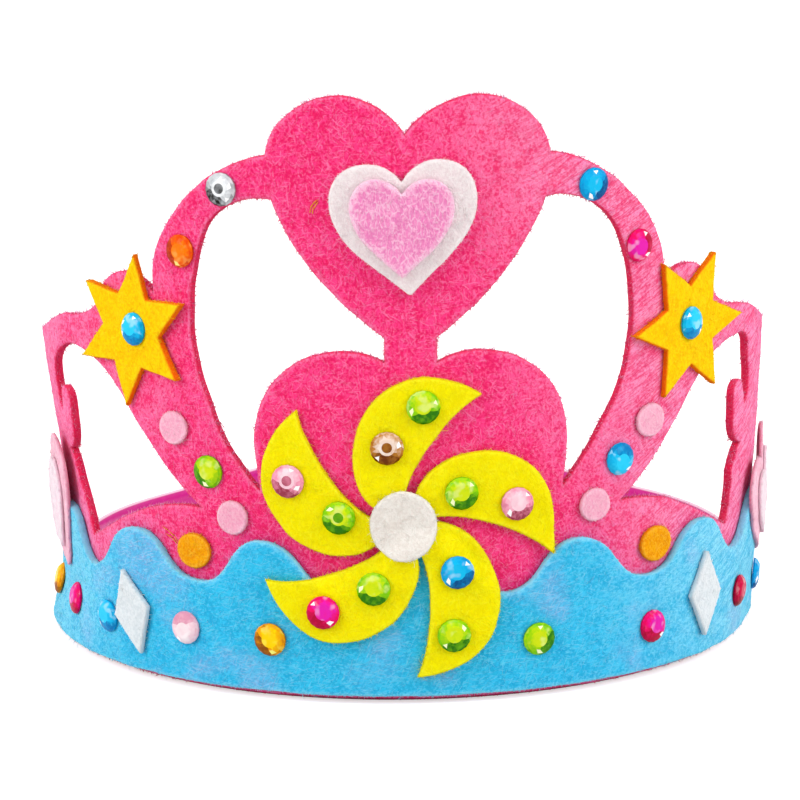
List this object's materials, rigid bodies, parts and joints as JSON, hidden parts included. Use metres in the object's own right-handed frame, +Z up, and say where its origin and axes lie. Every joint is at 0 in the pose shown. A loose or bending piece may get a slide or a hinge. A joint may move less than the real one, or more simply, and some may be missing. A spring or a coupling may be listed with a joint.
{
  "type": "paper crown",
  "caption": "Cut-out craft crown: a felt panel of hearts and arches rolled on a headband strip, with a wavy band, glued shapes and flat-backed gems.",
  "frame": {"origin": "middle of the footprint, on the surface the strip stands on", "axes": "+Z up, the front of the crown faces -Y, +X is to the right seen from the front"},
  "size_m": [0.188, 0.2352, 0.1455],
  "materials": {
    "amber_felt": "matte felt",
    "blue_felt": "matte needle felt",
    "blue_gem": "faceted, foil backed",
    "champagne_gem": "faceted, foil backed",
    "clear_gem": "faceted, foil backed",
    "green_gem": "faceted, foil backed",
    "magenta_gem": "faceted, foil backed",
    "magenta_strip": "glossy sheet plastic",
    "orange_felt": "matte felt",
    "orange_gem": "faceted, foil backed",
    "pale_pink_felt": "matte felt",
    "pink_felt": "matte needle felt",
    "pink_gem": "faceted, foil backed",
    "red_gem": "faceted, foil backed",
    "white_felt": "matte felt",
    "yellow_felt": "matte felt"
  },
  "bodies": {
    "root": {"crown_panel": "pink_felt", "gem_arch_left_high": "clear_gem", "gem_arch_left_low": "orange_gem", "gem_arch_right_high": "blue_gem", "gem_arch_right_low": "magenta_gem", "gem_band_left_1": "orange_gem", "gem_band_left_2": "pink_gem", "gem_band_left_3": "blue_gem", "gem_band_left_4": "magenta_gem", "gem_band_left_5": "orange_gem", "gem_band_right_1": "green_gem", "gem_band_right_2": "magenta_gem", "gem_band_right_3": "red_gem", "gem_band_right_4": "blue_gem", "gem_leg_left": "green_gem", "gem_leg_right": "blue_gem", "gem_petal_left_inner": "green_gem", "gem_petal_left_outer": "pink_gem", "gem_petal_low_left_inner": "green_gem", "gem_petal_low_left_outer": "magenta_gem", "gem_petal_low_right_inner": "blue_gem", "gem_petal_low_right_outer": "green_gem", "gem_petal_right_inner": "green_gem", "gem_petal_right_outer": "pink_gem", "gem_petal_top_inner": "champagne_gem", "gem_petal_top_outer": "green_gem", "gem_star_left": "blue_gem", "gem_star_right": "blue_gem", "headband_strip": "magenta_strip", "orange_dot_left": "orange_felt", "orange_dot_right": "orange_felt", "pale_dot_left_high": "pale_pink_felt", "pale_dot_left_low": "pale_pink_felt", "pale_dot_right_high": "pale_pink_felt", "pale_dot_right_low": "pale_pink_felt", "petal_left": "yellow_felt", "petal_low_left": "yellow_felt", "petal_low_right": "yellow_felt", "petal_right": "yellow_felt", "petal_top": "yellow_felt", "pink_heart_front": "pale_pink_felt", "pink_heart_left": "pale_pink_felt", "pink_heart_right": "pale_pink_felt", "pinwheel_disc": "white_felt", "rhombus_left": "white_felt", "rhombus_right": "white_felt", "star_left": "amber_felt", "star_right": "amber_felt", "wave_band": "blue_felt", "white_heart_front": "white_felt", "white_heart_left": "white_felt", "white_heart_right": "white_felt"}
  },
  "joints": []
}
